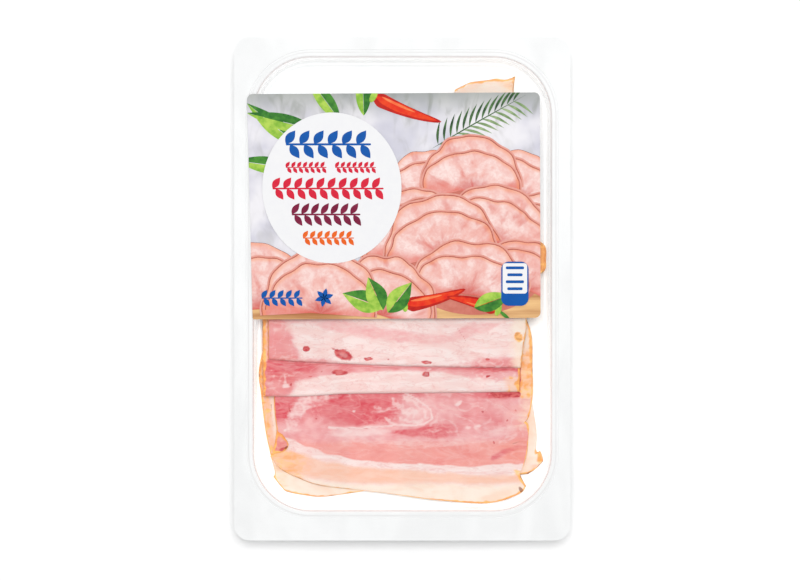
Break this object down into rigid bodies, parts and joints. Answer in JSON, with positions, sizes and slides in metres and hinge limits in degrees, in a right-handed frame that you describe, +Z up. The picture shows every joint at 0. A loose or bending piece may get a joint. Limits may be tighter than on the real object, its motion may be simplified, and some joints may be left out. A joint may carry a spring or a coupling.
{
  "type": "bacon pack",
  "caption": "Flat sealed retail pack of sliced smoked bacon: shallow white plastic tray with a wide rim, overlapping slices, clear lid film and a plain printed label.",
  "frame": {"origin": "on the table under the middle of the pack's rim", "axes": "+Z up through the film, +Y towards the pack's top edge, +X to the right of the label"},
  "size_m": [0.14, 0.21, 0.0105],
  "materials": {
    "tray_plastic": "white thermoformed tray, soft gloss",
    "bacon": "moist pink smoked meat with cream fat and a brown rind",
    "clear_film": "clear lid film, glossy, slightly wrinkled at the corners",
    "label_print": "printed film label, fields of colour, semi-gloss"
  },
  "bodies": {
    "root": {"tray": "tray_plastic", "slice_1_lowest": "bacon", "slice_2_front": "bacon", "slice_3": "bacon", "slice_4": "bacon", "slice_5": "bacon", "slice_6_top": "bacon", "lid_film": "clear_film", "label": "label_print"}
  },
  "joints": []
}
